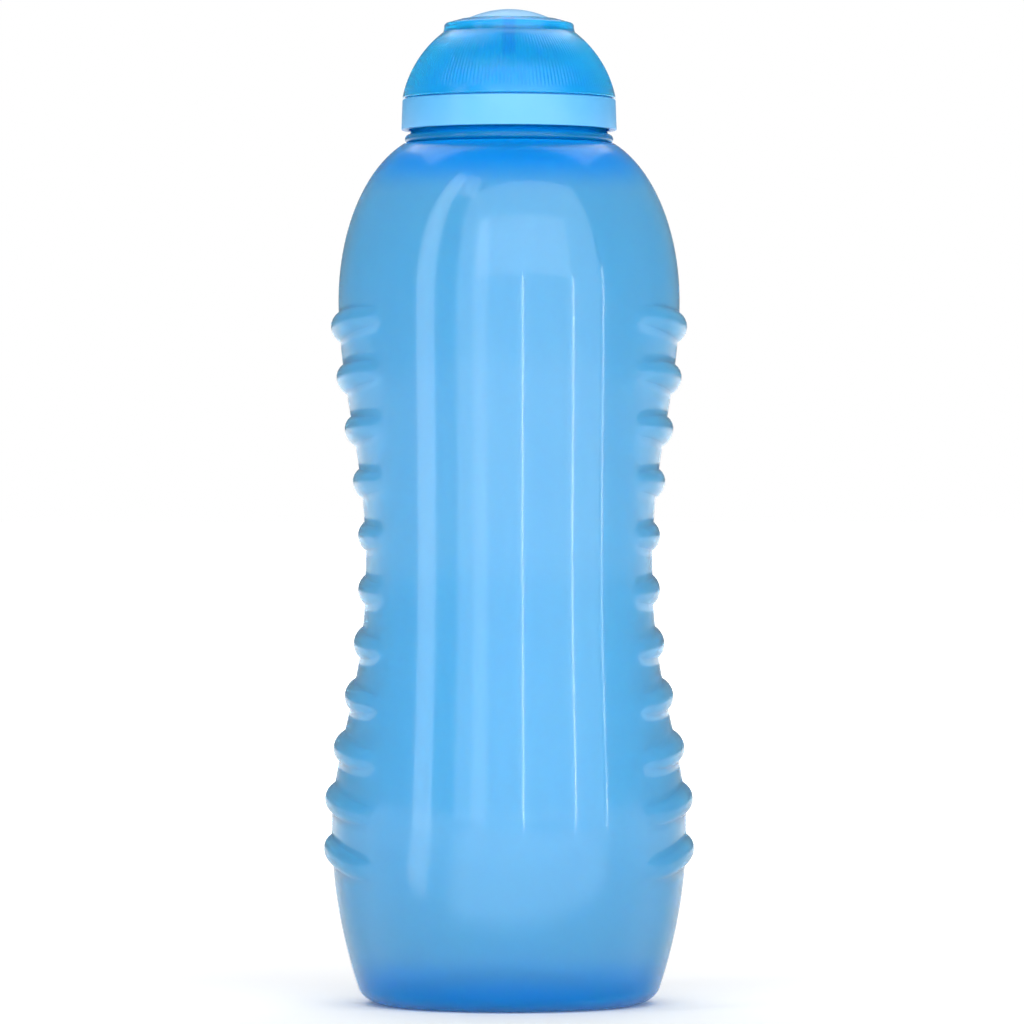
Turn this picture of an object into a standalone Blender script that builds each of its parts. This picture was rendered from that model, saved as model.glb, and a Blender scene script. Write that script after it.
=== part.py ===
"""A sports squeeze bottle: a soft blown bottle with ribbed side grips, closed by a screw cap that
carries a twist-to-open dome. Metres, +Z up, origin at the middle of the standing face.

The dome is drawn shut and the cap is drawn screwed home. Both move on right-hand helices about Z.
"""

import math

import bmesh
import bpy
from mathutils import Vector

# ---------------------------------------------------------------- driving dimensions (metres)
GAP = 0.0003  # clearance left between two pieces that touch or slide
TURN = 2 * math.pi

# Blown bottle
BOTTLE_HEIGHT = 0.1867  # standing face to the rim of the neck
WALL = 0.0012
FLOOR_WALL = 0.0016
LOWER_RADIUS = 0.0361  # widest part below the grip
UPPER_RADIUS = 0.0347  # widest part above the grip
WAIST_RADIUS = 0.0288  # half the width across the two side grips
WAIST_DEPTH = 0.0341  # half the depth, front to back, at the same height
LOWER_HEIGHT = 0.036  # height of the widest part below the grip
WAIST_HEIGHT = 0.0904
SHOULDER_HEIGHT = 0.0318  # widest part above the grip to the bead
SHOULDER_REACH = 0.034  # half axis of the shoulder's ellipse along Z
SHOULDER_STEP = 0.0004  # the shoulder ends this far outside the bead
BASE_TAPER = 5.1  # per metre: how fast the radius shrinks towards the base
CORNER_WIDTH = 0.006
CORNER_HEIGHT = 0.0045
CORNER_END = -15  # degrees: the corner's arc ends where it meets the taper's slope
STANDING_WIDTH = 0.003  # width of the flat ring that the bottle stands on
PUSH_UP = 0.0055  # how far the middle of the base is pushed up
GRIP_HALF_ANGLE = math.radians(48)

# Grip ribs
RIB_COUNT = 11
RIB_PITCH = 0.0106
RIB_HEIGHT = 0.0017
RIB_WIDTH = 0.0061
FIRST_RIB_HEIGHT = 0.0315
RIB_HALF_ANGLE = math.radians(41)
RIB_FAN = 0.05  # how far a rib's ends spread from the fan's middle, as a share of its distance
FAN_MIDDLE = 0.1

# Neck
NECK_RADIUS = 0.017  # outside of the neck, under the thread
NECK_WALL = 0.0013
NECK_LENGTH = 0.0084  # threaded neck above the ledge
LEDGE_OVERHANG = 0.0027  # outside of the neck to the ledge's edge
LEDGE_LENGTH = 0.0015
BEAD_OVERHANG = 0.0042  # outside of the neck to the bead's edge
BEAD_HEIGHT = 0.002
THREAD_DEPTH = 0.0008
THREAD_PITCH = 0.004
THREAD_ROOT = 0.0017
THREAD_CREST = 0.0008
NECK_THREAD_TURNS = 1.4
CAP_THREAD_TURNS = 1.2
CAP_THREAD_DEPTH = 0.0005

# Neck gasket
GASKET_THICKNESS = 0.0007
GASKET_WIDTH = 0.0021

# Screw cap
DRUM_WALL = 0.0011
DECK_THICKNESS = 0.0012
BAND_OVERHANG = 0.0025  # drum to the outside of the band
BAND_WALL = 0.0012
BAND_HEIGHT = 0.0062
BAND_FLARE = 0.0002
TOWER_BORE = 0.0094
TOWER_WALL = 0.002
SPOKE_COUNT = 3
SPOKE_WIDTH = 0.0014
SPOKE_HEIGHT = 0.003
POST_RADIUS = 0.0022
PLUG_RADIUS = 0.0093
PLUG_SIDE = 0.0025
PLUG_CHAMFER = 0.0008
LENS_RISE = 0.0023
FLOW_SLIT = 0.0006  # the drink's way between the tower's top and the plug

# Twist dome
DOME_WALL = 0.0011
SLEEVE_WALL = 0.0011
MOUTH_BEAD = 0.0006  # the mouthpiece ring stands this far out from the sleeve
MOUTH_HEIGHT = 0.0027  # notch to the top lip
MOUTH_BORE_GAP = 0.0004
LIP_THICKNESS = 0.0005
DOME_LIFT = 0.0032
DOME_TWIST = math.radians(90)
LUG_COUNT = 3
LUG_HEIGHT = 0.0014
LUG_DEPTH = 0.0009
LUG_ANGLE = math.radians(16)
RIB_PLATE = 0.0026  # thickness of the two plates between sleeve and shell
RIB_PLATE_HEIGHT = 0.007

# Seal rings
SEAL_HEIGHT = 0.0010
SEAL_DEPTH = 0.0008
MOUTH_SEAL_HEIGHT = 0.0012
MOUTH_SEAL_WIDTH = 0.0013

# Facets round the axis
BODY_SIDES = 36
TURNED_SIDES = 40
RING_SIDES = 36

# ---------------------------------------------------------------- sizes that follow from those
LEDGE_TOP = BOTTLE_HEIGHT - NECK_LENGTH
BEAD_TOP = LEDGE_TOP - LEDGE_LENGTH
SHOULDER_TOP = BEAD_TOP - BEAD_HEIGHT
LEDGE_RADIUS = NECK_RADIUS + LEDGE_OVERHANG
BEAD_RADIUS = NECK_RADIUS + BEAD_OVERHANG
UPPER_HEIGHT = SHOULDER_TOP - SHOULDER_HEIGHT
SHOULDER_ARC = 1 - math.sqrt(1 - (SHOULDER_HEIGHT / SHOULDER_REACH) ** 2)
SHOULDER_DROP = (UPPER_RADIUS - BEAD_RADIUS - SHOULDER_STEP) / SHOULDER_ARC  # its half axis across

DECK_UNDER = BOTTLE_HEIGHT + GASKET_THICKNESS + 2 * GAP
DECK_TOP = DECK_UNDER + DECK_THICKNESS
DRUM_BORE = NECK_RADIUS + THREAD_DEPTH + GAP
DRUM_RADIUS = DRUM_BORE + DRUM_WALL
DRUM_BOTTOM = LEDGE_TOP + GAP
BAND_RADIUS = DRUM_RADIUS + BAND_OVERHANG
BAND_TOP = LEDGE_TOP - 2 * GAP + BAND_HEIGHT
TOWER_RADIUS = TOWER_BORE + TOWER_WALL

# The dome's height is stacked up from the cap's deck, over the tower, to the lip
DOME_RIM = BAND_TOP + GAP
SLEEVE_BORE = TOWER_RADIUS + GAP
SLEEVE_RADIUS = SLEEVE_BORE + SLEEVE_WALL
SLEEVE_BOTTOM = DECK_TOP + GAP
LUG_BOTTOM = SLEEVE_BOTTOM + GAP
LEAD = DOME_LIFT * TURN / DOME_TWIST
GROOVE_DEPTH = LUG_DEPTH
GROOVE_TOP = LUG_BOTTOM + LUG_HEIGHT + DOME_LIFT + GAP
SEAL_BOTTOM = GROOVE_TOP + 2 * GAP
TOWER_TOP = SEAL_BOTTOM + SEAL_HEIGHT + 2 * GAP
PLUG_UNDER = TOWER_TOP + FLOW_SLIT
PLUG_RIM = PLUG_UNDER + PLUG_SIDE
LIP_TOP = PLUG_RIM + GAP
MOUTH_RADIUS = SLEEVE_RADIUS + MOUTH_BEAD
MOUTH_BORE = PLUG_RADIUS + MOUTH_BORE_GAP
MOUTH_SEAL_TOP = LIP_TOP - LIP_THICKNESS - GAP
MOUTH_SEAL_BOTTOM = MOUTH_SEAL_TOP - MOUTH_SEAL_HEIGHT

# The shell is the sphere on the axis that meets both the band's edge and the notch under the mouth
NOTCH_HEIGHT = LIP_TOP - MOUTH_HEIGHT
DOME_CENTRE = ((MOUTH_RADIUS**2 + NOTCH_HEIGHT**2 - BAND_RADIUS**2 - DOME_RIM**2)
               / (2 * (NOTCH_HEIGHT - DOME_RIM)))
DOME_RADIUS = math.hypot(BAND_RADIUS, DOME_RIM - DOME_CENTRE)


# ---------------------------------------------------------------- tools
def clear_scene():
    for found in list(bpy.data.objects):
        bpy.data.objects.remove(found, do_unlink=True)


def plastic(name, colour, roughness, clear):
    """A Principled plastic. clear is the share of light that goes through it."""
    made = bpy.data.materials.new(name)
    made.use_nodes = True
    shader = made.node_tree.nodes["Principled BSDF"]
    shader.inputs["Base Color"].default_value = (*colour, 1)
    shader.inputs["Metallic"].default_value = 0
    shader.inputs["Roughness"].default_value = roughness
    shader.inputs["Transmission Weight"].default_value = clear
    return made


def add_object(name, shape, material=None):
    """Puts a bmesh into the scene as one object, faces out and shaded smooth between sharp edges."""
    bmesh.ops.recalc_face_normals(shape, faces=shape.faces)
    mesh = bpy.data.meshes.new(name)
    shape.to_mesh(mesh)
    shape.free()
    mesh.shade_smooth()
    mesh.set_sharp_from_angle(angle=math.radians(35))
    made = bpy.data.objects.new(name, mesh)
    bpy.context.scene.collection.objects.link(made)
    if material:
        mesh.materials.append(material)
    return made


def combine(target, tool, operation):
    """Joins a hidden helper to the target, or cuts it away."""
    tool.hide_render = True
    tool.display_type = "WIRE"
    modifier = target.modifiers.new(tool.name, "BOOLEAN")
    modifier.operation = operation
    modifier.solver = "EXACT"
    modifier.object = tool


def arc(centre, radii, start, end, steps):
    """(radius, height) points on an ellipse about centre, angles in degrees."""
    angles = (math.radians(start + (end - start) * i / steps) for i in range(steps + 1))
    return [(centre[0] + radii[0] * math.cos(a), centre[1] + radii[1] * math.sin(a)) for a in angles]


def turned(name, outline, material=None, sides=TURNED_SIDES):
    """Spins a closed (radius, height) outline about Z."""
    shape = bmesh.new()
    points = [shape.verts.new((radius, 0, height)) for radius, height in outline]
    edges = [shape.edges.new((a, b)) for a, b in zip(points, points[1:] + points[:1])
             if max(a.co.x, b.co.x) > 0]
    bmesh.ops.spin(shape, geom=points + edges, axis=(0, 0, 1), cent=(0, 0, 0), dvec=(0, 0, 0),
                   angle=TURN, steps=sides, use_merge=True, use_duplicate=False)
    bmesh.ops.remove_doubles(shape, verts=shape.verts, dist=1e-6)
    return add_object(name, shape, material)


def helix(name, section, start, sweep, lead, steps):
    """Sweeps a section along a helix about Z. section(share) gives its (radius, height) corners."""
    shape = bmesh.new()
    rings = []
    for i in range(steps + 1):
        turn = start + sweep * i / steps
        rise = lead * sweep * i / steps / TURN
        rings.append([shape.verts.new((radius * math.cos(turn), radius * math.sin(turn), height + rise))
                      for radius, height in section(i / steps)])
    for low, high in zip(rings, rings[1:]):
        for j in range(len(low)):
            shape.faces.new((low[j - 1], low[j], high[j], high[j - 1]))
    shape.faces.new(rings[0])
    shape.faces.new(rings[-1])
    return add_object(name, shape)


def bar(name, centre, size, turn):
    """A box, turned about Z."""
    shape = bmesh.new()
    bmesh.ops.create_cube(shape, size=1)
    bmesh.ops.scale(shape, vec=Vector(size), verts=shape.verts)
    bmesh.ops.translate(shape, vec=Vector(centre), verts=shape.verts)
    made = add_object(name, shape)
    made.rotation_euler.z = turn
    return made


def thread_section(wall, crest, embed, turns):
    """A ridge that starts inside the wall and fades out over the first and last eighth of a turn."""
    def section(share):
        fade = min(1, 8 * turns * min(share, 1 - share))
        tip = wall + (crest - wall) * (0.05 + 0.95 * fade)
        return ((embed, -THREAD_ROOT / 2), (tip, -THREAD_CREST / 2),
                (tip, THREAD_CREST / 2), (embed, THREAD_ROOT / 2))
    return section


# ---------------------------------------------------------------- blown bottle
def ease(share, power=1.0):
    share = max(0.0, min(1.0, share)) ** power
    return share * share * (3 - 2 * share)


def wall_radius(height, waist):
    """Outer radius of the plain wall, whose narrowest place between base and shoulder is waist."""
    if height >= UPPER_HEIGHT:
        reach = (height - UPPER_HEIGHT) / SHOULDER_REACH
        return UPPER_RADIUS - SHOULDER_DROP * (1 - math.sqrt(1 - reach * reach))
    if height >= WAIST_HEIGHT:
        share = (height - WAIST_HEIGHT) / (UPPER_HEIGHT - WAIST_HEIGHT)
        return waist + (UPPER_RADIUS - waist) * ease(share)
    if height >= LOWER_HEIGHT:
        share = (WAIST_HEIGHT - height) / (WAIST_HEIGHT - LOWER_HEIGHT)
        return waist + (LOWER_RADIUS - waist) * ease(share, 1.2)
    return LOWER_RADIUS - BASE_TAPER * (LOWER_HEIGHT - height) ** 2


def from_side(angle):
    """How far a direction about Z lies from the nearer of +X and -X."""
    return math.acos(min(1.0, abs(math.cos(angle))))


def plain_radius(angle, height):
    """The wall with its two side grips, without ribs."""
    grip = ease(1 - from_side(angle) / GRIP_HALF_ANGLE)
    deep = wall_radius(height, WAIST_DEPTH)
    return deep + (wall_radius(height, WAIST_RADIUS) - deep) * grip


def rib_levels():
    """(height, rib share) of each ring through the ribs. A rib's section is half round."""
    levels = []
    for rib in range(RIB_COUNT):
        middle = FIRST_RIB_HEIGHT + rib * RIB_PITCH
        for across in (-1, -0.66, 0, 0.66, 1):
            levels.append((middle + across * RIB_WIDTH / 2, math.sqrt(1 - across * across)))
    return levels


def ribbed_ring(height, share, angles):
    """One ring of the outer wall. The ribs' ends fan away from the middle of the grip."""
    ring = []
    for angle in angles:
        along = min(1.0, from_side(angle) / RIB_HALF_ANGLE)
        place = height + RIB_FAN * (height - FAN_MIDDLE) * ease(along)
        bulge = RIB_HEIGHT * share * math.sqrt(1 - along * along)
        radius = plain_radius(angle, place) + bulge
        ring.append((radius * math.cos(angle), radius * math.sin(angle), place))
    return ring


def plain_ring(height, inset, angles):
    radii = [plain_radius(angle, height) - inset for angle in angles]
    return [(r * math.cos(a), r * math.sin(a), height) for r, a in zip(radii, angles)]


def round_ring(radius, height, angles):
    return [(radius * math.cos(a), radius * math.sin(a), height) for a in angles]


def skin(rings, first_middle, last_middle):
    """A closed surface through rings of points, with a fan of triangles at each end."""
    shape = bmesh.new()
    rows = [[shape.verts.new(point) for point in ring] for ring in rings]
    for low, high in zip(rows, rows[1:]):
        for j in range(len(low)):
            shape.faces.new((low[j - 1], low[j], high[j], high[j - 1]))
    for row, middle in ((rows[0], first_middle), (rows[-1], last_middle)):
        centre = shape.verts.new(middle)
        for j in range(len(row)):
            shape.faces.new((row[j - 1], row[j], centre))
    return shape


def neck_outline():
    """(radius, height) up the outside of the neck, from the shoulder to the rim."""
    bead_middle = SHOULDER_TOP + BEAD_HEIGHT / 2
    bead = arc((BEAD_RADIUS - BEAD_HEIGHT / 2, bead_middle), (BEAD_HEIGHT / 2, BEAD_HEIGHT / 2), -90, 90, 4)
    rim = arc((NECK_RADIUS - NECK_WALL / 2, BOTTLE_HEIGHT - NECK_WALL / 2),
              (NECK_WALL / 2, NECK_WALL / 2), 0, 180, 3)
    return bead + [(LEDGE_RADIUS, BEAD_TOP), (LEDGE_RADIUS, LEDGE_TOP), (NECK_RADIUS, LEDGE_TOP)] + rim


def make_bottle(material):
    angles = [TURN * i / BODY_SIDES for i in range(BODY_SIDES)]
    end = math.radians(CORNER_END)
    corner_top = CORNER_HEIGHT * (1 + math.sin(end))
    corner_middle = wall_radius(corner_top, WAIST_DEPTH) - CORNER_WIDTH * math.cos(end)
    corner = arc((corner_middle, CORNER_HEIGHT), (CORNER_WIDTH, CORNER_HEIGHT), -90, CORNER_END, 4)
    standing_inside = corner_middle - STANDING_WIDTH
    ribs = rib_levels()
    above = LOWER_HEIGHT / 2 - corner_top
    taper = [corner_top + above * share for share in (0.3, 0.65, 1)]
    shoulder = [UPPER_HEIGHT + (SHOULDER_TOP - UPPER_HEIGHT) * share
                for share in (0.08, 0.25, 0.4, 0.53, 0.65, 0.76, 0.86, 0.94, 1)]

    rings = [round_ring(standing_inside * share, PUSH_UP * (1 - share * share), angles)
             for share in (0.3, 0.6, 0.85)]
    rings += [round_ring(standing_inside, 0, angles)]
    rings += [round_ring(radius, height, angles) for radius, height in corner]
    rings += [plain_ring(height, 0, angles) for height in taper]
    rings += [ribbed_ring(height, share, angles) for height, share in ribs]
    rings += [plain_ring(height, 0, angles) for height in shoulder]
    rings += [round_ring(radius, height, angles) for radius, height in neck_outline()]

    bore = NECK_RADIUS - NECK_WALL
    throat = SHOULDER_TOP - WALL
    wide_bore = LEDGE_RADIUS - NECK_WALL
    rings += [round_ring(bore, LEDGE_TOP - GAP, angles)]
    rings += [round_ring(wide_bore, height, angles) for height in (LEDGE_TOP - NECK_WALL, SHOULDER_TOP)]
    inside = [height for height in shoulder if height < throat - WALL
              and wall_radius(height, WAIST_DEPTH) - WALL > wide_bore]
    steps = 11
    low = FLOOR_WALL + CORNER_HEIGHT
    grip = [low + (UPPER_HEIGHT - low) * i / steps for i in range(steps + 1)]
    rings += [plain_ring(height, WALL, angles) for height in reversed(grip + inside)]
    rings += [round_ring(radius, height, angles) for radius, height in
              reversed(arc((corner_middle - WALL, low), (CORNER_WIDTH, CORNER_HEIGHT), -90, -30, 2))]
    floor_ring = standing_inside - WALL
    rings += [round_ring(floor_ring * share, FLOOR_WALL + PUSH_UP * (1 - share * share), angles)
              for share in (0.85, 0.6, 0.3)]
    shape = skin(rings, (0, 0, PUSH_UP), (0, 0, PUSH_UP + FLOOR_WALL))
    bottle = add_object("bottle_body", shape, material)

    start = LEDGE_TOP + THREAD_ROOT / 2 + GAP
    section = thread_section(NECK_RADIUS, NECK_RADIUS + THREAD_DEPTH, NECK_RADIUS - NECK_WALL / 2,
                             NECK_THREAD_TURNS)
    ridge = helix("neck_thread", section, 0, NECK_THREAD_TURNS * TURN, THREAD_PITCH,
                  round(24 * NECK_THREAD_TURNS))
    ridge.location.z = start
    combine(bottle, ridge, "UNION")
    return bottle


def make_neck_gasket(material):
    outside = DRUM_BORE - GAP
    bottom = BOTTLE_HEIGHT + GAP
    top = bottom + GASKET_THICKNESS
    inside = outside - GASKET_WIDTH
    outline = [(outside, bottom), (outside, top), (inside, top), (inside, bottom)]
    return turned("neck_gasket", outline, material, RING_SIDES)


# ---------------------------------------------------------------- screw cap
def drum_top_corner():
    """The drum's top edge follows the inside of the dome's shell at a steady distance."""
    reach = DOME_RADIUS - DOME_WALL - 2 * GAP
    low = math.sqrt(reach**2 - DRUM_RADIUS**2)
    high = DECK_TOP - DOME_CENTRE
    if low > high:
        return [(DRUM_RADIUS, DECK_TOP)]
    start = math.degrees(math.asin(low / reach))
    end = math.degrees(math.asin(min(1.0, high / reach)))
    return arc((0, DOME_CENTRE), (reach, reach), start, end, 3)


def cap_outline():
    """Deck, tower with its seal groove, drum and band, as one moulding open below."""
    groove = TOWER_RADIUS - SEAL_DEPTH
    web = BAND_TOP - BAND_WALL
    band_bottom = BAND_TOP - BAND_HEIGHT
    tower = [
        (TOWER_BORE, TOWER_TOP), (TOWER_BORE, DECK_UNDER), (DRUM_BORE, DECK_UNDER),
        (DRUM_BORE, DRUM_BOTTOM), (DRUM_RADIUS, DRUM_BOTTOM), (DRUM_RADIUS, web),
        (BAND_RADIUS - BAND_WALL, web), (BAND_RADIUS - BAND_WALL, band_bottom),
        (BAND_RADIUS + BAND_FLARE, band_bottom), (BAND_RADIUS, BAND_TOP), (DRUM_RADIUS, BAND_TOP),
    ]
    seal = [
        (TOWER_RADIUS, DECK_TOP), (TOWER_RADIUS, SEAL_BOTTOM - GAP), (groove, SEAL_BOTTOM - GAP),
        (groove, SEAL_BOTTOM + SEAL_HEIGHT + GAP), (TOWER_RADIUS, SEAL_BOTTOM + SEAL_HEIGHT + GAP),
        (TOWER_RADIUS, TOWER_TOP),
    ]
    return tower + drum_top_corner() + seal


def plug_outline():
    """The fixed plug in the dome's mouth, its lens-shaped top and the post under it."""
    lens_radius = (PLUG_RADIUS**2 + LENS_RISE**2) / (2 * LENS_RISE)
    spread = math.degrees(math.asin(PLUG_RADIUS / lens_radius))
    lens = arc((0, PLUG_RIM + LENS_RISE - lens_radius), (lens_radius, lens_radius), 90 - spread, 90, 5)
    return [
        (0, DECK_UNDER), (POST_RADIUS, DECK_UNDER), (POST_RADIUS, PLUG_UNDER),
        (PLUG_RADIUS - PLUG_CHAMFER, PLUG_UNDER), (PLUG_RADIUS, PLUG_UNDER + PLUG_CHAMFER),
        *lens[:-1], (0, PLUG_RIM + LENS_RISE),
    ]


def make_screw_cap(material):
    cap = turned("screw_cap", cap_outline(), material)
    combine(cap, turned("plug", plug_outline(), sides=RING_SIDES), "UNION")
    reach = TOWER_BORE + TOWER_WALL / 2
    for i in range(SPOKE_COUNT):
        spoke = bar(f"spoke_{i}", (reach / 2, 0, DECK_UNDER + SPOKE_HEIGHT / 2 + GAP),
                    (reach, SPOKE_WIDTH, SPOKE_HEIGHT), TURN * (i + 0.5) / SPOKE_COUNT)
        combine(cap, spoke, "UNION")

    section = thread_section(DRUM_BORE, DRUM_BORE - CAP_THREAD_DEPTH, DRUM_BORE + DRUM_WALL / 2,
                             CAP_THREAD_TURNS)
    thread = helix("cap_thread", section, 0, CAP_THREAD_TURNS * TURN, THREAD_PITCH,
                   round(24 * CAP_THREAD_TURNS))
    thread.location.z = LEDGE_TOP + THREAD_ROOT / 2 + GAP + THREAD_PITCH / 2
    combine(cap, thread, "UNION")

    low = LUG_BOTTOM - GAP
    high = LUG_BOTTOM + LUG_HEIGHT + GAP
    inner = TOWER_RADIUS - GROOVE_DEPTH
    outer = TOWER_RADIUS + SLEEVE_WALL
    slack = LUG_ANGLE / 2 + GAP / TOWER_RADIUS
    slope = LEAD * slack / TURN
    for i in range(LUG_COUNT):
        corners = ((inner, low - slope), (outer, low - slope), (outer, high - slope), (inner, high - slope))
        groove = helix(f"cam_groove_{i}", lambda share, c=corners: c,
                       TURN * i / LUG_COUNT - slack, DOME_TWIST + 2 * slack, LEAD, 12)
        combine(cap, groove, "DIFFERENCE")
    return cap


def make_tower_seal(material):
    inside = TOWER_RADIUS - SEAL_DEPTH + GAP
    outside = SLEEVE_BORE - GAP / 2
    top = SEAL_BOTTOM + SEAL_HEIGHT
    outline = [(outside, SEAL_BOTTOM), (outside, top), (inside, top), (inside, SEAL_BOTTOM)]
    return turned("tower_seal_ring", outline, material, RING_SIDES)


# ---------------------------------------------------------------- twist dome
def dome_outline():
    """Shell, mouthpiece ring and sleeve, as one moulding open below."""
    inner = DOME_RADIUS - DOME_WALL
    rim_rise = DOME_RIM - DOME_CENTRE
    rim_angle = math.degrees(math.asin(rim_rise / DOME_RADIUS))
    notch_angle = math.degrees(math.acos(MOUTH_RADIUS / DOME_RADIUS))
    rim_inside = math.degrees(math.asin(rim_rise / inner))
    join_inside = math.degrees(math.acos(SLEEVE_RADIUS / inner))
    shell = arc((0, DOME_CENTRE), (DOME_RADIUS, DOME_RADIUS), rim_angle, notch_angle, 8)
    bead = arc((MOUTH_RADIUS - MOUTH_BEAD, NOTCH_HEIGHT + 1.5 * MOUTH_BEAD),
               (MOUTH_BEAD, MOUTH_BEAD), -50, 90, 4)
    groove = MOUTH_BORE + MOUTH_SEAL_WIDTH + GAP - MOUTH_BORE_GAP
    groove_top = LIP_TOP - LIP_THICKNESS
    groove_bottom = MOUTH_SEAL_BOTTOM - GAP
    sleeve = [
        (MOUTH_BORE, LIP_TOP), (MOUTH_BORE, groove_top), (groove, groove_top), (groove, groove_bottom),
        (MOUTH_BORE + GAP, groove_bottom), (SLEEVE_BORE, TOWER_TOP + GAP),
        (SLEEVE_BORE, SLEEVE_BOTTOM), (SLEEVE_RADIUS, SLEEVE_BOTTOM),
    ]
    inside = arc((0, DOME_CENTRE), (inner, inner), join_inside, rim_inside, 7)
    return shell + bead + sleeve + inside


def make_twist_dome(material):
    dome = turned("twist_dome", dome_outline(), material)
    tip = SLEEVE_BORE - LUG_DEPTH
    root = SLEEVE_BORE + SLEEVE_WALL / 2
    for i in range(LUG_COUNT):
        slope = LEAD * LUG_ANGLE / 2 / TURN
        low = LUG_BOTTOM - slope
        high = LUG_BOTTOM + LUG_HEIGHT - slope
        corners = ((tip, low), (root, low), (root, high), (tip, high))
        lug = helix(f"cam_lug_{i}", lambda share, c=corners: c,
                    TURN * i / LUG_COUNT - LUG_ANGLE / 2, LUG_ANGLE, LEAD, 4)
        combine(dome, lug, "UNION")
    plate_top = NOTCH_HEIGHT - DOME_WALL / 2
    inner = SLEEVE_RADIUS - SLEEVE_WALL / 2
    plate_middle = plate_top - RIB_PLATE_HEIGHT / 2
    for side in (-1, 1):
        low_reach = math.sqrt((DOME_RADIUS - DOME_WALL / 2) ** 2 - (plate_top - DOME_CENTRE) ** 2)
        plate = bar(f"plate_{'front' if side < 0 else 'rear'}",
                    (0, side * (inner + low_reach) / 2, plate_middle),
                    (RIB_PLATE, low_reach - inner, RIB_PLATE_HEIGHT), 0)
        combine(dome, plate, "UNION")
    return dome


def make_mouth_seal(material):
    inside = PLUG_RADIUS + GAP
    outside = inside + MOUTH_SEAL_WIDTH - GAP
    outline = [(outside, MOUTH_SEAL_BOTTOM), (outside, MOUTH_SEAL_TOP),
               (inside, MOUTH_SEAL_TOP), (inside, MOUTH_SEAL_BOTTOM)]
    return turned("mouth_seal_ring", outline, material, RING_SIDES)


def main():
    clear_scene()
    blown = plastic("blown blue polyethylene", (0.06, 0.36, 0.72), 0.32, 0.6)
    clear_dome = plastic("tinted blue polypropylene", (0.02, 0.34, 0.75), 0.28, 0.5)
    moulded = plastic("light blue polypropylene", (0.18, 0.58, 0.94), 0.35, 0.0)
    rubber = plastic("pale silicone rubber", (0.75, 0.8, 0.82), 0.55, 0.2)
    make_bottle(blown)
    make_neck_gasket(rubber)
    make_screw_cap(moulded)
    make_tower_seal(rubber)
    make_mouth_seal(rubber)
    make_twist_dome(clear_dome)


main()
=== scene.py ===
import math

import bmesh
import bpy
import numpy as np
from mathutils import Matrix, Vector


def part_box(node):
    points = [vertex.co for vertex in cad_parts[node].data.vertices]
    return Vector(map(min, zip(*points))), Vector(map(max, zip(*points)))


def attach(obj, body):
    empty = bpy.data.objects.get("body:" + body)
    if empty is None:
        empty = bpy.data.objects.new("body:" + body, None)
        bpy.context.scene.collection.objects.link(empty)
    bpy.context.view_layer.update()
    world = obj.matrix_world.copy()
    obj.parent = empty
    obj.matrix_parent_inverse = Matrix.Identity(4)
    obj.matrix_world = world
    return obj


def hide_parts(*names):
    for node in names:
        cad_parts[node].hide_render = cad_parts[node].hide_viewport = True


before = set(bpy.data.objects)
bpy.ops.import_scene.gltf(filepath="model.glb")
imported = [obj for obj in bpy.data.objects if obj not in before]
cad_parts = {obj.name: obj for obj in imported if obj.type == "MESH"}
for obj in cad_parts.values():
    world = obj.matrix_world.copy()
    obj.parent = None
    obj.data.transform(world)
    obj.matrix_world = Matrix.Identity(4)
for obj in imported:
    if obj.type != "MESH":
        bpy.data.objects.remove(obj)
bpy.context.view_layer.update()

# Bottle.
# One blown shell of soft, milky blue polyethylene. Its wall is 1.2 mm thick, a little more at the
# neck, and the ribs are hollow too. The mould's two halves leave a fine line down the middle of
# each grip.
WALL, SHOULDER_WALL = 0.0012, 0.0016
LOWER_RADIUS, UPPER_RADIUS = 0.0361, 0.0347
WAIST_RADIUS, WAIST_DEPTH = 0.0288, 0.0341
LOWER_HEIGHT, WAIST_HEIGHT, UPPER_HEIGHT = 0.036, 0.0904, 0.143
SHOULDER_REACH, SHOULDER_DROP = 0.034, 0.0203
BASE_TAPER = 5.1
CORNER = (0.006, 0.0045)
STANDING_WIDTH, STANDING_ROUND, STANDING_INSET = 0.003, (0.0006, 0.0003), 0.0004
PUSH_UP = 0.0055
GRIP_HALF_ANGLE = math.radians(48)
RIB_COUNT, RIB_PITCH, RIB_HEIGHT, RIB_WIDTH = 11, 0.0106, 0.0017, 0.0061
FIRST_RIB_HEIGHT = 0.0315
RIB_HALF_ANGLE = math.radians(41)
RIB_FAN, FAN_MIDDLE = 0.05, 0.1
NECK_RADIUS, NECK_WALL = 0.017, 0.0013
LEDGE_RADIUS, BEAD_RADIUS, BEAD_HEIGHT = 0.0197, 0.0212, 0.002
THREAD_DEPTH, THREAD_PITCH, THREAD_ROOT, THREAD_TURNS = 0.0008, 0.004, 0.0017, 1.4
BOTTLE_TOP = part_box("bottle_body")[1][2]
LEDGE_TOP, LEDGE_ROUND = 0.1783, 0.0003
SHOULDER_TOP = 0.1748
BOTTLE_SIDES = 200
# Heights of the deeper blue: at the foot, and under the cap, where it is partly painted shade.
THICK_BELOW, THICK_AND_SHADED_ABOVE = (0.002, 0.012), (0.164, 0.1715)
MATT_SIDE, SEAM_EDGE = (0.76, 0.9), (0.0001, 0.00045)


def ease(share, power=1.0):
    share = np.clip(share, 0, 1) ** power
    return share * share * (3 - 2 * share)


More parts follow.
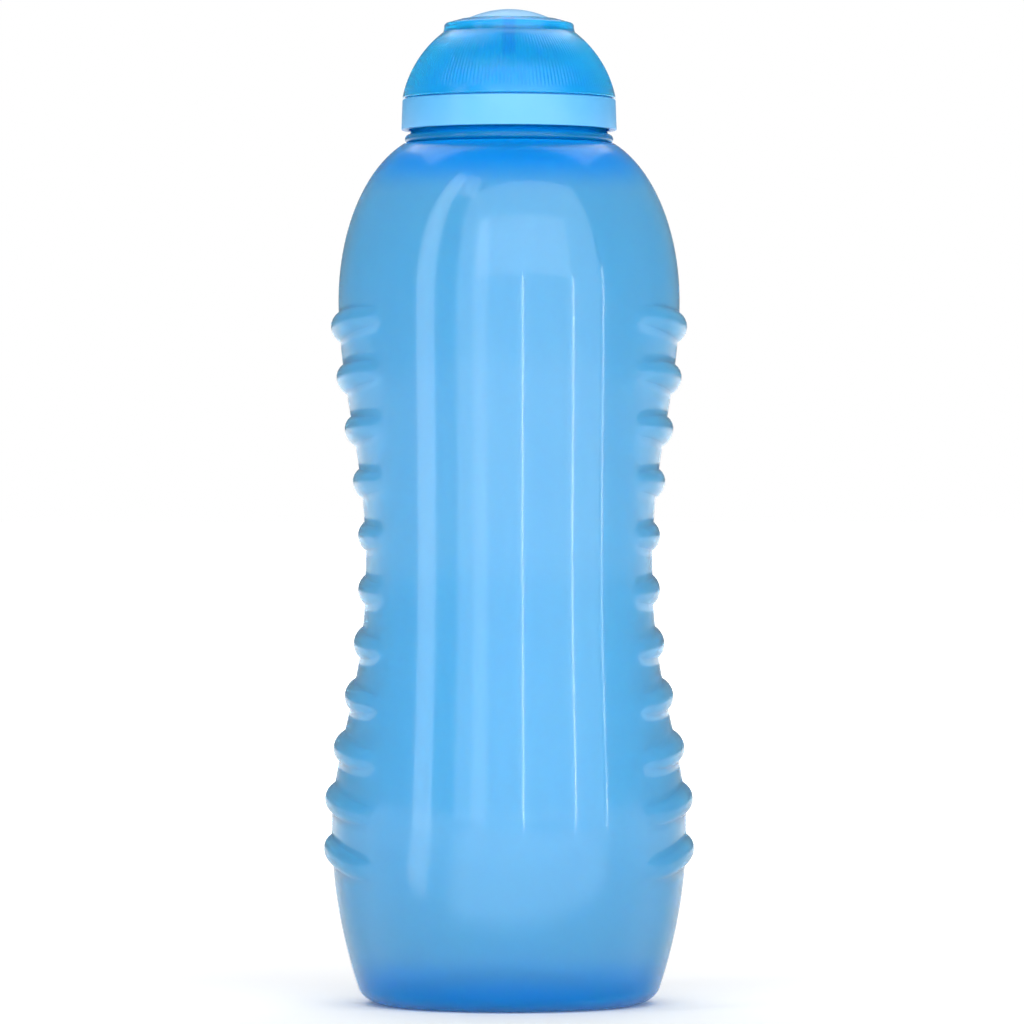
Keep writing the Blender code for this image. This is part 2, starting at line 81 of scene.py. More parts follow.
def wall_radius(height, waist):
    """Radius of the plain wall at each height. waist is its narrowest place in the grip."""
    reach = np.clip((height - UPPER_HEIGHT) / SHOULDER_REACH, 0, 1)
    shoulder = UPPER_RADIUS - SHOULDER_DROP * (1 - np.sqrt(1 - reach * reach))
    rise = ease((height - WAIST_HEIGHT) / (UPPER_HEIGHT - WAIST_HEIGHT))
    above = waist + (UPPER_RADIUS - waist) * rise
    fall = ease((WAIST_HEIGHT - height) / (WAIST_HEIGHT - LOWER_HEIGHT), 1.2)
    below = waist + (LOWER_RADIUS - waist) * fall
    taper = LOWER_RADIUS - BASE_TAPER * (LOWER_HEIGHT - height) ** 2
    return np.select([height >= UPPER_HEIGHT, height >= WAIST_HEIGHT, height >= LOWER_HEIGHT],
                     [shoulder, above, below], taper)


def arc(centre, radii, start, end, steps):
    """(radius, height) points on an ellipse, angles in degrees."""
    turn = np.radians(np.linspace(start, end, steps + 1))
    return [(centre[0] + radii[0] * math.cos(a), centre[1] + radii[1] * math.sin(a)) for a in turn]


def shade(mesh, angle=35):
    mesh.shade_smooth()
    mesh.set_sharp_from_angle(angle=math.radians(angle))


def skin(name, rings, closed=True, angle=35):
    """A mesh through rings of points, each ring running once round Z. closed fills both ends."""
    rings = np.asarray(rings)
    count, sides = rings.shape[:2]
    points = rings.reshape(-1, 3).tolist()
    faces = [(i * sides + j - 1 if j else i * sides + sides - 1, i * sides + j,
              (i + 1) * sides + j, (i + 1) * sides + j - 1 if j else (i + 2) * sides - 1)
             for i in range(count - 1) for j in range(sides)]
    if closed:
        faces.append(tuple(range(sides))[::-1])
        faces.append(tuple((count - 1) * sides + j for j in range(sides)))
    mesh = bpy.data.meshes.new(name)
    mesh.from_pydata(points, [], faces)
    mesh.validate()
    shade(mesh, angle)
    made = bpy.data.objects.new(name, mesh)
    bpy.context.scene.collection.objects.link(made)
    return made


turns = np.linspace(0, 2 * np.pi, BOTTLE_SIDES, endpoint=False)
round_x, round_y = np.cos(turns), np.sin(turns)
from_side = np.arccos(np.clip(np.abs(round_x), 0, 1))
grip = ease(1 - from_side / GRIP_HALF_ANGLE)
along = np.clip(from_side / RIB_HALF_ANGLE, 0, 1)
rib_fade = 1 - along * along
rib_narrow = 0.6 + 0.4 * rib_fade


def ring(radius, height):
    """One ring. Radius and height are numbers or one value for each side."""
    spread = np.ones(BOTTLE_SIDES)
    return np.stack([radius * round_x, radius * round_y, height * spread], axis=1)


def grip_ring(height, bulge=0.0, inset=0.0):
    deep = wall_radius(height, WAIST_DEPTH)
    radius = deep + (wall_radius(height, WAIST_RADIUS) - deep) * grip
    return ring(radius + bulge * RIB_HEIGHT * rib_fade - inset, height)


def ribbed_wall(low, high, rib_steps, gap_steps, inset=0.0):
    """Rings from low to high, through every rib, set in from the outside of the wall."""
    arch = (RIB_WIDTH**2 / 4 + RIB_HEIGHT**2) / (2 * RIB_HEIGHT)
    rings = []
    edge = low * np.ones(BOTTLE_SIDES)
    for rib in range(RIB_COUNT):
        middle = FIRST_RIB_HEIGHT + rib * RIB_PITCH
        middle = middle + RIB_FAN * (middle - FAN_MIDDLE) * ease(along)
        foot = middle - RIB_WIDTH / 2 * rib_narrow
        steps = gap_steps if rib else 3 * gap_steps
        for share in np.arange(1, steps) / steps:
            rings.append(grip_ring(edge + (foot - edge) * share, 0, inset))
        for i in range(rib_steps + 1):
            place = -math.cos(math.pi * i / rib_steps)
            bulge = 1 - (arch - math.sqrt(arch**2 - (place * RIB_WIDTH / 2) ** 2)) / RIB_HEIGHT
            rings.append(grip_ring(middle + place * RIB_WIDTH / 2 * rib_narrow, bulge, inset))
        edge = middle + RIB_WIDTH / 2 * rib_narrow
    for share in np.arange(1, 12 * gap_steps + 1) / (12 * gap_steps):
        rings.append(grip_ring(edge + (high - edge) * share, 0, inset))
    return rings


def neck_ring(height):
    """The threaded neck: one ridge winds up it and fades out at both ends."""
    turned = (height - LEDGE_TOP - THREAD_ROOT) / THREAD_PITCH
    nearest = turns / (2 * np.pi) + np.round(turned - turns / (2 * np.pi))
    nearest = np.clip(nearest, 0, THREAD_TURNS)
    off = np.abs(turned - nearest) * THREAD_PITCH / (THREAD_ROOT / 2)
    fade = np.clip(8 * np.minimum(nearest, THREAD_TURNS - nearest), 0, 1)
    ridge = THREAD_DEPTH * np.clip(1.6 * (1 - off), 0, 1) * fade
    return ring(NECK_RADIUS + ridge, height)


corner_end = math.radians(-15)
corner_top = CORNER[1] * (1 + math.sin(corner_end))
corner_middle = float(wall_radius(np.array(corner_top), WAIST_DEPTH)) - CORNER[0] * math.cos(corner_end)
foot_inside = corner_middle - STANDING_WIDTH
bead_middle = SHOULDER_TOP + BEAD_HEIGHT / 2

rings = [ring(foot_inside * s, PUSH_UP * (1 - s * s)) for s in np.linspace(0.02, 0.96, 20)]
rings += [ring(r, z) for r, z in arc((foot_inside + STANDING_INSET, STANDING_ROUND[1]), STANDING_ROUND,
                                     -160, -90, 3)]
rings += [ring(r, z) for r, z in arc((corner_middle, CORNER[1]), CORNER, -90, -15, 14)]
rings += ribbed_wall(corner_top, SHOULDER_TOP, 10, 4)
rings += [ring(r, z) for r, z in arc((BEAD_RADIUS - BEAD_HEIGHT / 2, bead_middle),
                                     (BEAD_HEIGHT / 2, BEAD_HEIGHT / 2), -90, 90, 12)]
rings += [ring(r, z) for r, z in arc((LEDGE_RADIUS - LEDGE_ROUND, LEDGE_TOP - LEDGE_ROUND),
                                     (LEDGE_ROUND, LEDGE_ROUND), 0, 90, 4)]
rings += [neck_ring(z) for z in np.linspace(LEDGE_TOP, BOTTLE_TOP - NECK_WALL / 2, 44)]
rings += [ring(r, z) for r, z in arc((NECK_RADIUS - NECK_WALL / 2, BOTTLE_TOP - NECK_WALL / 2),
                                     (NECK_WALL / 2, NECK_WALL / 2), 0, 180, 8)]
bore = NECK_RADIUS - NECK_WALL
rings += [ring(bore, LEDGE_TOP), ring(LEDGE_RADIUS - NECK_WALL, LEDGE_TOP - NECK_WALL),
          ring(LEDGE_RADIUS - NECK_WALL, SHOULDER_TOP)]
inner_low = CORNER[1] + WALL
rings += ribbed_wall(inner_low, SHOULDER_TOP - SHOULDER_WALL, 6, 3, WALL)[::-1]
rings += [ring(r, z) for r, z in arc((corner_middle - WALL, inner_low), CORNER, -20, -90, 6)]
rings += [ring(foot_inside * s, WALL + PUSH_UP * (1 - s * s)) for s in np.linspace(0.94, 0.02, 14)]
bottle = skin("bottle_shell", rings, angle=70)


class Signal:
    """An output socket of a shader tree. Arithmetic on it adds Math nodes."""

    def __init__(self, tree, socket):
        self.tree = tree
        self.socket = socket

    def math(self, operation, *values):
        return add(self.tree, "Math", {"operation": operation}, dict(enumerate(values)))["Value"]

    def __add__(self, other):
        return self.math("ADD", self, other)

    __radd__ = __add__

    def __sub__(self, other):
        return self.math("SUBTRACT", self, other)

    def __rsub__(self, other):
        return self.math("SUBTRACT", other, self)

    def __mul__(self, other):
        return self.math("MULTIPLY", self, other)

    __rmul__ = __mul__

    def __truediv__(self, other):
        return self.math("DIVIDE", self, other)

    def __pow__(self, other):
        return self.math("POWER", self, other)

    def __abs__(self):
        return self.math("ABSOLUTE", self)


def add(tree, kind, settings, inputs):
    """Adds one node: its settings first, then the value or link of each named input."""
    node = tree.nodes.new("ShaderNode" + kind)
    for name, value in settings.items():
        setattr(node, name, value)
    for name, value in inputs.items():
        if isinstance(value, Signal):
            tree.links.new(value.socket, node.inputs[name])
        else:
            node.inputs[name].default_value = value
    return {socket.name: Signal(tree, socket) for socket in node.outputs if socket.enabled}


def new_finish(name):
    """An empty material and its tree."""
    made = bpy.data.materials.new(name)
    made.use_nodes = True
    made.node_tree.nodes.clear()
    return made, made.node_tree


def position(tree):
    """The point on the piece, in metres."""
    return add(tree, "TexCoord", {}, {})["Object"]


def split(tree, vector):
    """Its X, Y and Z."""
    parts = add(tree, "SeparateXYZ", {}, {"Vector": vector})
    return parts["X"], parts["Y"], parts["Z"]


def noise(tree, place, scale, detail=2.0, stretch=(1, 1, 1)):
    """Smooth noise from 0 to 1 with about scale bumps to the metre."""
    stretched = add(tree, "VectorMath", {"operation": "MULTIPLY"}, {0: place, 1: stretch})["Vector"]
    return add(tree, "TexNoise", {}, {"Vector": stretched, "Scale": scale, "Detail": detail})["Fac"]


def between(tree, share, low, high):
    """A colour between two colours, each given in numbers or as a Signal."""
    low, high = (end if isinstance(end, Signal) else (*end, 1) for end in (low, high))
    return add(tree, "Mix", {"data_type": "RGBA"}, {0: share, 6: low, 7: high})["Result"]


def step(tree, value, low, high):
    """0 below low, 1 above high, smooth between."""
    return add(tree, "MapRange", {"interpolation_type": "SMOOTHSTEP"},
               {"Value": value, "From Min": low, "From Max": high})["Result"]


milky, tree = new_finish("milky_blue_polyethylene")
place = position(tree)
x, y, z = split(tree, place)
# Deeper blue at the foot, where the push-up lies behind the wall, and under the cap. The neck's plastic is
# thicker there, and the deep tone under the cap is also painted shade of the cap and band.
thick_and_shaded = 1 - step(tree, z, *THICK_BELOW) * (1 - step(tree, z, *THICK_AND_SHADED_ABOVE))
flow = noise(tree, place, 60, 3, (1, 1, 0.35))
tone = between(tree, flow * 0.2 * (1 - thick_and_shaded) + thick_and_shaded, (0.18, 0.535, 0.75), (0.002, 0.42, 0.87))
matt = step(tree, abs(x) / (x * x + y * y) ** 0.5, *MATT_SIDE)
seam = (1 - step(tree, abs(y), *SEAM_EDGE)) * 0.6
drawn = noise(tree, place, 700, 3, (1, 1, 0.02))
skin_height = noise(tree, place, 420, 2) * 0.2 + drawn * 0.3 + seam
bump = add(tree, "Bump", {}, {"Strength": 0.25, "Distance": 0.0002, "Height": skin_height})["Normal"]
surface = add(tree, "BsdfPrincipled", {}, {
    "Base Color": tone, "Roughness": flow * 0.06 + matt * 0.04 + 0.14, "Normal": bump, "IOR": 1.3,
    "Specular IOR Level": 0.3, "Transmission Weight": 0.75, "Subsurface Weight": 1.0,
    "Subsurface Radius": (0.6, 1.0, 1.0), "Subsurface Scale": 0.002,
    "Coat Weight": 0.5 * (1 - matt) * (1 - thick_and_shaded), "Coat Roughness": 0.05})["BSDF"]
add(tree, "OutputMaterial", {}, {"Surface": surface})
bottle.data.materials.append(milky)
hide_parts("bottle_body")
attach(bottle, "bottle")

# Neck gasket and the cap's two seals.
# Pale silicone rings, moulded and then pushed into their grooves. None of them can be seen while
# the bottle is shut, apart from a hair of the mouth seal beside the lens.
silicone, tree = new_finish("pale_silicone")
bloom = noise(tree, position(tree), 900, 3)
bump = add(tree, "Bump", {}, {"Strength": 0.2, "Distance": 0.0001, "Height": bloom})["Normal"]
surface = add(tree, "BsdfPrincipled", {}, {
    "Base Color": between(tree, bloom, (0.55, 0.62, 0.66), (0.68, 0.74, 0.78)),
    "Roughness": bloom * 0.15 + 0.45, "Normal": bump, "Subsurface Weight": 0.5,
    "Subsurface Radius": (1, 1, 1), "Subsurface Scale": 0.001})["BSDF"]
add(tree, "OutputMaterial", {}, {"Surface": surface})
for ring_name in ("neck_gasket", "tower_seal_ring", "mouth_seal_ring"):
    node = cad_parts[ring_name]
    node.data.materials.clear()
    node.data.materials.append(silicone)

# Screw cap.
# One moulding of light blue polypropylene, nearly opaque: the band that shows under the dome, the
# threaded drum, the deck, the tower with its cam grooves, and the lens-topped plug on three spokes.
GAP, EDGE_ROUND = 0.0003, 0.0002
DECK_UNDER, DECK_TOP = 0.188, 0.1892
DRUM_BORE, DRUM_RADIUS, DRUM_BOTTOM = 0.0181, 0.0192, 0.1786
BAND_RADIUS, BAND_WALL, BAND_TOP, BAND_BOTTOM, BAND_FLARE = 0.0217, 0.0012, 0.1839, 0.1777, 0.0002
BAND_TOP_ROUND, BAND_LOW_ROUND = 0.0003, 0.00015
CAP_THREAD_DEPTH, CAP_THREAD_ROOT, CAP_THREAD_CREST = 0.0005, 0.0021, 0.0008
CAP_THREAD_BED, CAP_THREAD_START, CAP_THREAD_TURNS = 0.0004, 0.18145, 1.2
TOWER_BORE, TOWER_RADIUS, TOWER_TOP = 0.0094, 0.0114, 0.1969
SEAL_LOW, SEAL_HIGH, SEAL_DEPTH = 0.195, 0.1966, 0.0008
SPOKE_WIDTH, SPOKE_HEIGHT, SPOKE_ROOTS = 0.0014, 0.003, (0.0005, 0.0008)
CAM_LEAD, CAM_TWIST = 0.0128, math.radians(90)
LUG_COUNT, LUG_BOTTOM, LUG_HEIGHT, LUG_DEPTH, LUG_ANGLE = 3, 0.1898, 0.0014, 0.0009, math.radians(16)
PLUG_RADIUS, PLUG_UNDER, PLUG_CHAMFER = 0.0093, 0.1975, 0.0008
POST_RADIUS, POST_FLARE, AXIS = 0.0022, 0.0005, 0.00001
LENS_TOP, LENS_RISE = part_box("screw_cap")[1][2], 0.0023
TURNED_SIDES = 192
DOME_CENTRE, DOME_RADIUS, DOME_WALL = 0.18003, 0.0221, 0.0011


def lathe(name, outline, sides=TURNED_SIDES, flutes=None):
    """Turns a closed (radius, height) outline about Z. flutes(radius, height, turn) may move a point in."""
    angle = np.linspace(0, 2 * np.pi, sides, endpoint=False)
    outline = [*outline, outline[0]]
    rings = []
    for radius, height in outline:
        r = np.full(sides, radius) if flutes is None else radius - flutes(radius, height, angle)
        rings.append(np.stack([r * np.cos(angle), r * np.sin(angle), np.full(sides, height)], axis=1))
    made = skin(name, rings, closed=False)
    weld = made.modifiers.new("join", "WELD")
    weld.merge_threshold = 1e-6
    return made


def solid(name, points, faces, bevel=0.0):
    """A mesh from points and faces, with its faces turned outwards and its edges rounded."""
    mesh = bpy.data.meshes.new(name)
    mesh.from_pydata(points, [], faces)
    shape = bmesh.new()
    shape.from_mesh(mesh)
    bmesh.ops.recalc_face_normals(shape, faces=shape.faces)
    shape.to_mesh(mesh)
    shape.free()
    shade(mesh, 30)
    made = bpy.data.objects.new(name, mesh)
    bpy.context.scene.collection.objects.link(made)
    if bevel:
        rounding = made.modifiers.new("rounding", "BEVEL")
        rounding.width = bevel
        rounding.segments = 3
    return made


def walls(name, span, low, high, width, angles):
    """Upright walls that run outwards from Z, one at each angle, a tenth thinner at the foot."""
    points, faces = [], []
    for angle in angles:
        first = len(points)
        for height, half in ((low, 0.45 * width), (high, 0.5 * width)):
            for reach, side in ((span[0], -half), (span[1], -half), (span[1], half), (span[0], half)):
                points.append((reach * math.cos(angle) - side * math.sin(angle),
                               reach * math.sin(angle) + side * math.cos(angle), height))
        faces += [tuple(first + corner for corner in face) for face in (
            (3, 2, 1, 0), (4, 5, 6, 7), (0, 1, 5, 4), (1, 2, 6, 5), (2, 3, 7, 6), (3, 0, 4, 7))]
    return solid(name, points, faces, EDGE_ROUND)


def ridges(name, root, crest, foot, tip, height, starts, sweep, lead, steps, fade=0.0):
    """Ridges wound up Z from each start angle. foot and tip are their thickness at root and crest."""
    points, faces = [], []
    for start in starts:
        first = len(points)
        for i in range(steps + 1):
            turn = start + sweep * i / steps
            grow = min(1, min(i, steps - i) / (steps * fade) + 0.05) if fade else 1
            for radius, rise in ((root, -foot / 2), (root + (crest - root) * grow, -tip / 2),
                                 (root + (crest - root) * grow, tip / 2), (root, foot / 2)):
                points.append((radius * math.cos(turn), radius * math.sin(turn),
                               height + rise + lead * (turn - start) / (2 * math.pi)))
        for i in range(steps):
            low, high = first + 4 * i, first + 4 * i + 4
            faces += [(low + j, low + (j + 1) % 4, high + (j + 1) % 4, high + j) for j in range(4)]
        faces += [tuple(range(first, first + 4)), tuple(range(first + 4 * steps, first + 4 * steps + 4))]
    return solid(name, points, faces)


def cam_grooves(radius, height, turn):
    """Depth of the tower's three right-hand grooves, each a quarter turn long."""
    if abs(radius - TOWER_RADIUS) > 1e-6 or not DECK_TOP < height < SEAL_LOW:
        return 0 * turn
    slack = LUG_ANGLE / 2 + GAP / TOWER_RADIUS
    along = np.mod(turn + slack, 2 * np.pi / LUG_COUNT) - slack
    off = height - LUG_BOTTOM - LUG_HEIGHT / 2 - CAM_LEAD * along / (2 * np.pi)
    return LUG_DEPTH * ((np.abs(off) < LUG_HEIGHT / 2 + GAP) & (along < CAM_TWIST + slack))


web = BAND_TOP - BAND_WALL
groove = TOWER_RADIUS - SEAL_DEPTH
crown = DOME_RADIUS - DOME_WALL - 2 * GAP
crown_start = math.degrees(math.acos(DRUM_RADIUS / crown))
crown_end = math.degrees(math.asin((DECK_TOP - DOME_CENTRE) / crown))
cap_outline = [
    (TOWER_BORE, TOWER_TOP), (TOWER_BORE, DECK_UNDER), (DRUM_BORE, DECK_UNDER),
    (DRUM_BORE, DRUM_BOTTOM), (DRUM_RADIUS, DRUM_BOTTOM), (DRUM_RADIUS, web),
    (BAND_RADIUS - BAND_WALL, web), (BAND_RADIUS - BAND_WALL, BAND_BOTTOM),
    *arc((BAND_RADIUS + BAND_FLARE - BAND_LOW_ROUND, BAND_BOTTOM + BAND_LOW_ROUND),
         (BAND_LOW_ROUND, BAND_LOW_ROUND), -90, 0, 3),
    *arc((BAND_RADIUS - BAND_TOP_ROUND, BAND_TOP - BAND_TOP_ROUND),
         (BAND_TOP_ROUND, BAND_TOP_ROUND), 0, 90, 5),
    (DRUM_RADIUS, BAND_TOP), *arc((0, DOME_CENTRE), (crown, crown), crown_start, crown_end, 5),
    *[(TOWER_RADIUS, height) for height in np.linspace(DECK_TOP, SEAL_LOW, 30)],
    (groove, SEAL_LOW), (groove, SEAL_HIGH),
    (TOWER_RADIUS, SEAL_HIGH), (TOWER_RADIUS, TOWER_TOP)]
cap = lathe("cap_moulding", cap_outline, flutes=cam_grooves)
cap_thread = ridges("cap_thread", DRUM_BORE + CAP_THREAD_BED, DRUM_BORE - CAP_THREAD_DEPTH,
                    CAP_THREAD_ROOT, CAP_THREAD_CREST, CAP_THREAD_START,
                    [0], CAP_THREAD_TURNS * 2 * math.pi, THREAD_PITCH, 120, 0.1)
spoke_foot = DECK_UNDER + GAP
spokes = walls("feed_spokes", (POST_RADIUS - SPOKE_ROOTS[0], TOWER_BORE + SPOKE_ROOTS[1]),
               spoke_foot, spoke_foot + SPOKE_HEIGHT, SPOKE_WIDTH,
               [math.radians(a) for a in (60, 180, 300)])

lens_radius = (PLUG_RADIUS**2 + LENS_RISE**2) / (2 * LENS_RISE)
lens_spread = math.degrees(math.asin(PLUG_RADIUS / lens_radius))
plug_outline = [
    (AXIS, DECK_UNDER), (POST_RADIUS, DECK_UNDER), (POST_RADIUS, PLUG_UNDER - POST_FLARE),
    (POST_RADIUS + POST_FLARE, PLUG_UNDER), (PLUG_RADIUS - PLUG_CHAMFER, PLUG_UNDER),
    (PLUG_RADIUS, PLUG_UNDER + PLUG_CHAMFER), (PLUG_RADIUS, LENS_TOP - LENS_RISE - EDGE_ROUND),
    *arc((0, LENS_TOP - lens_radius), (lens_radius, lens_radius), 90 - lens_spread + 0.6, 89.9, 24)]
plug = lathe("lens_plug", plug_outline)

light_blue, tree = new_finish("light_blue_polypropylene")
place = position(tree)
cloud = noise(tree, place, 150, 3)
grain = noise(tree, place, 5200, 2)
bump = add(tree, "Bump", {}, {"Strength": 0.15, "Distance": 0.0001, "Height": grain + cloud * 0.5})["Normal"]
surface = add(tree, "BsdfPrincipled", {}, {
    "Base Color": between(tree, cloud, (0.065, 0.305, 0.565), (0.078, 0.335, 0.605)),
    "Roughness": grain * 0.1 + 0.33, "Normal": bump, "Subsurface Weight": 0.6,
    "Subsurface Radius": (0.5, 1, 1), "Subsurface Scale": 0.0012, "Coat Weight": 0.08,
    "Coat Roughness": 0.25})["BSDF"]
add(tree, "OutputMaterial", {}, {"Surface": surface})
for piece in (cap, plug, cap_thread, spokes):
    piece.data.materials.append(light_blue)
    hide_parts("screw_cap")
    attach(piece, "cap")

# Twist dome.
# One moulding of darker, see-through blue polypropylene: a shell with fine upright flutes for
# grip, the ring round the mouth, and the sleeve inside whose three lugs run in the tower's grooves.
MOUTH_RADIUS, MOUTH_BEAD, MOUTH_BORE, MOUTH_ROUND = 0.0134, 0.0006, 0.0097, 0.0007
LIP_THICKNESS, LIP_CHAMFER, GROOVE_HEIGHT, GROOVE_DEPTH = 0.0005, 0.0002, 0.0018, 0.0012
SLEEVE_BORE, SLEEVE_RADIUS, SLEEVE_BOTTOM = 0.0117, 0.0128, 0.1895
FLUTES, SIDES_PER_FLUTE, FLUTE_DEPTH = 168, 5, 0.00012
FLUTE_LOW, FLUTE_HIGH = (0.0008, 0.0016), (0.0006, 0.002)
PLATE_THICKNESS, PLATE_HEIGHT, PLATE_ROOT, LUG_ROOT = 0.0026, 0.007, 0.0006, 0.0005
PLATE_STRIPE, PLATE_FOOT = (0.0009, 0.0016), (0.1912, 0.1928)
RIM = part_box("twist_dome")[0][2]
LIP_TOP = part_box("twist_dome")[1][2]
notch = DOME_CENTRE + math.sqrt(DOME_RADIUS**2 - MOUTH_RADIUS**2)
rim_angle = math.degrees(math.asin((RIM - DOME_CENTRE) / DOME_RADIUS))
notch_angle = math.degrees(math.acos(MOUTH_RADIUS / DOME_RADIUS))
inner = DOME_RADIUS - DOME_WALL
lip_under = LIP_TOP - LIP_THICKNESS
seal_groove = MOUTH_BORE + GROOVE_DEPTH
dome_outline = [
    *arc((0, DOME_CENTRE), (DOME_RADIUS, DOME_RADIUS), rim_angle, notch_angle, 60),
    *arc((MOUTH_RADIUS - 1.5 * MOUTH_BEAD, notch + 2 * MOUTH_BEAD), (MOUTH_ROUND, MOUTH_ROUND),
         -15, 75, 14),
    (MOUTH_BORE + LIP_CHAMFER, LIP_TOP - LIP_CHAMFER / 4), (MOUTH_BORE, LIP_TOP - LIP_CHAMFER),
    (MOUTH_BORE, lip_under), (seal_groove, lip_under), (seal_groove, lip_under - GROOVE_HEIGHT),
    (MOUTH_BORE + GAP, lip_under - GROOVE_HEIGHT), (SLEEVE_BORE, TOWER_TOP + GAP),
    (SLEEVE_BORE, SLEEVE_BOTTOM), (SLEEVE_RADIUS, SLEEVE_BOTTOM),
    *arc((0, DOME_CENTRE), (inner, inner), math.degrees(math.acos(SLEEVE_RADIUS / inner)),
         math.degrees(math.asin((RIM - DOME_CENTRE) / inner)), 24)]


def dome_flutes(radius, height, turn):
    """Rounded flutes on the outside of the shell, fading out below the notch and above the rim."""
    outside = abs(math.hypot(radius, height - DOME_CENTRE) - DOME_RADIUS) < 1e-6
    low = ease((height - RIM - FLUTE_LOW[0]) / FLUTE_LOW[1])
    high = ease((notch - FLUTE_HIGH[0] - height) / FLUTE_HIGH[1])
    return outside * low * high * FLUTE_DEPTH * (1 - np.abs(np.cos(turn * FLUTES / 2)))


dome = lathe("dome_shell", dome_outline, FLUTES * SIDES_PER_FLUTE, dome_flutes)
plate_top = notch - DOME_WALL / 2
plate_reach = math.sqrt((DOME_RADIUS - 0.6 * DOME_WALL) ** 2 - (plate_top - DOME_CENTRE) ** 2)
plates = walls("dome_plates", (SLEEVE_RADIUS - PLATE_ROOT, plate_reach), plate_top - PLATE_HEIGHT, plate_top,
               PLATE_THICKNESS, [math.radians(a) for a in (90, 270)])
lugs = ridges("cam_lugs", SLEEVE_BORE + LUG_ROOT, SLEEVE_BORE - LUG_DEPTH, LUG_HEIGHT, LUG_HEIGHT,
              LUG_BOTTOM + LUG_HEIGHT / 2 - CAM_LEAD * LUG_ANGLE / (4 * math.pi),
              [2 * math.pi * i / LUG_COUNT - LUG_ANGLE / 2 for i in range(LUG_COUNT)],
              LUG_ANGLE, CAM_LEAD, 8)

tinted, tree = new_finish("tinted_blue_polypropylene")
place = position(tree)
x, _, z = split(tree, place)
cloud = noise(tree, place, 120, 3)
grain = noise(tree, place, 3800, 2)
bump = add(tree, "Bump", {}, {"Strength": 0.2, "Distance": 0.0001, "Height": grain})["Normal"]
plate = (1 - step(tree, abs(x), *PLATE_STRIPE)) * step(tree, z, *PLATE_FOOT)
plain = between(tree, cloud, (0.002, 0.53, 0.95), (0.006, 0.59, 1.0))
surface = add(tree, "BsdfPrincipled", {}, {
    "Base Color": between(tree, plate * 0.4, plain, (0, 0.36, 0.9)),
    "Roughness": grain * 0.1 + 0.12, "Normal": bump, "IOR": 1.35, "Transmission Weight": 0.75,
    "Subsurface Weight": 1.0, "Subsurface Radius": (0.5, 1, 1), "Subsurface Scale": 0.002,
    "Coat Weight": 0.05, "Coat Roughness": 0.15})["BSDF"]
add(tree, "OutputMaterial", {}, {"Surface": surface})
for piece in (dome, plates, lugs):
    piece.data.materials.append(tinted)
    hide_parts("twist_dome")
    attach(piece, "dome")

# Floor, light and camera.
# A white floor in a white room, with a tall window to the left, its lintel, a pale wall and
# three thin strips in front. The floor glows, more with distance from the bottle, so that it fades
# into the room. In front it glows more: painted light where the window and the wall would light
# it, because the lower part of the bottle leans down and reflects it. A long lens looks level at
# the bottle from 1.36 m away.
floor_mesh = bpy.data.meshes.new("floor")
floor_mesh.from_pydata([(-60, -60, 0), (60, -60, 0), (60, 60, 0), (-60, 60, 0)], [], [(0, 1, 2, 3)])
floor = bpy.data.objects.new("floor", floor_mesh)
bpy.context.scene.collection.objects.link(floor)
paper, tree = new_finish("white_paper")
place = position(tree)
x, y, _ = split(tree, place)
fibre = noise(tree, place, 900, 2)
reach = (x * x + y * y) ** 0.5
azimuth = x.math("ARCTAN2", x, 0 - y) * (180 / math.pi)
front = 1 - step(tree, y, -0.09, -0.06)
window = 1 - step(tree, abs(azimuth + 57), 5, 9)
wall = 1 - step(tree, abs(azimuth - 14), 40, 55)
# Painted light: a glowing patch on the floor in front of the bottle, in the window's and the wall's sectors.
painted_light_in_front = front * (1 - step(tree, reach, 0.5, 1.2)) * (window * 1.3 + wall * 0.6)
glow = step(tree, reach, 0.05, 1) * 0.3 + step(tree, reach, 1, 2.5) * 0.2 + painted_light_in_front + 0.03
surface = add(tree, "BsdfPrincipled", {}, {
    "Base Color": between(tree, fibre, (0.84, 0.84, 0.845), (0.87, 0.87, 0.875)), "Roughness": 0.8,
    "Emission Color": between(tree, glow, (0, 0, 0), (1, 1, 1)), "Emission Strength": 2.0})["BSDF"]
add(tree, "OutputMaterial", {}, {"Surface": surface})
floor_mesh.materials.append(paper)

world = bpy.data.worlds.new("white_room")
world.use_nodes = True
world.node_tree.nodes.clear()
tree = world.node_tree
rays = add(tree, "LightPath", {}, {})
seen = rays["Is Camera Ray"].math("MAXIMUM", rays["Is Camera Ray"], rays["Is Transmission Ray"])
room = add(tree, "Background", {}, {"Color": (1, 1, 1, 1), "Strength": seen * 0.7 + 0.3})["Background"]
add(tree, "OutputWorld", {}, {"Surface": room})
bpy.context.scene.world = world


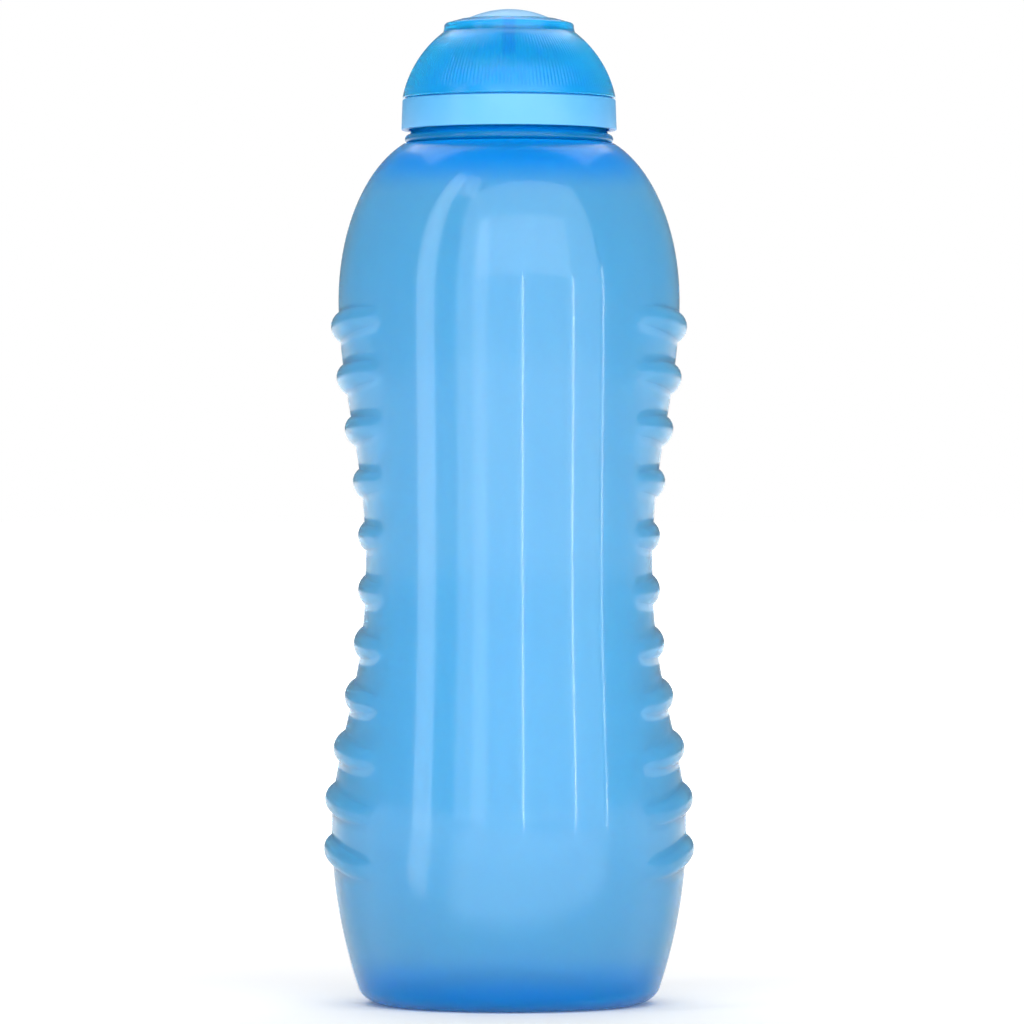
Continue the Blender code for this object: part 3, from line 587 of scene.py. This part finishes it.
def strip(name, azimuth, wide, tall, low, radiance, distance=0.8):
    """An upright soft box. azimuth is in degrees from the camera's side, positive to the right."""
    lamp = bpy.data.lights.new(name, "AREA")
    lamp.shape = "RECTANGLE"
    lamp.size = wide
    lamp.size_y = tall
    lamp.energy = radiance * wide * tall * math.pi
    made = bpy.data.objects.new(name, lamp)
    turn = math.radians(azimuth)
    made.location = (distance * math.sin(turn), -distance * math.cos(turn), low + tall / 2)
    made.rotation_euler = (math.radians(90), 0, turn)
    made.visible_camera = False
    bpy.context.scene.collection.objects.link(made)


strip("window", -57, 0.19, 1.5, 0.005, 2.8)
strip("lintel", -41, 0.3, 0.6, 0.98, 1.8)
strip("doorway", -19, 0.14, 0.7, 0.005, 1.2)
strip("front_wall", 14, 3.6, 2.8, 0.01, 1.7, 1.55)
strip("upper_wall", 10, 1.9, 0.9, 0.42, 1.3, 1.5)
strip("left_edge", 9, 0.008, 0.27, 0.01, 22.0)
strip("middle_edge", 43, 0.012, 0.26, 0.01, 16.0)
strip("right_edge", 65, 0.01, 0.3, 0.01, 16.0)

CEILING_SIDE, CEILING_RADIANCE = 2.4, 2.2
ceiling = bpy.data.lights.new("ceiling", "AREA")
ceiling.size = CEILING_SIDE
ceiling.energy = CEILING_RADIANCE * CEILING_SIDE**2 * math.pi
above = bpy.data.objects.new("ceiling", ceiling)
above.location = (0, 1.5, 1.8)
above.visible_camera = False
bpy.context.scene.collection.objects.link(above)

CAMERA_DISTANCE, CAMERA_HEIGHT, CAMERA_SIDE, VIEW_WIDTH, SENSOR = 1.363, 0.1, 0.0006, 0.2084, 36
camera = bpy.data.cameras.new("camera")
camera.lens = SENSOR * CAMERA_DISTANCE / VIEW_WIDTH
camera.sensor_width = SENSOR
eye = bpy.data.objects.new("camera", camera)
eye.location = (CAMERA_SIDE, -CAMERA_DISTANCE, CAMERA_HEIGHT)
eye.rotation_euler = (math.radians(90), 0, 0)
bpy.context.scene.collection.objects.link(eye)
bpy.context.scene.camera = eye
bpy.context.scene.view_settings.view_transform = "Standard"
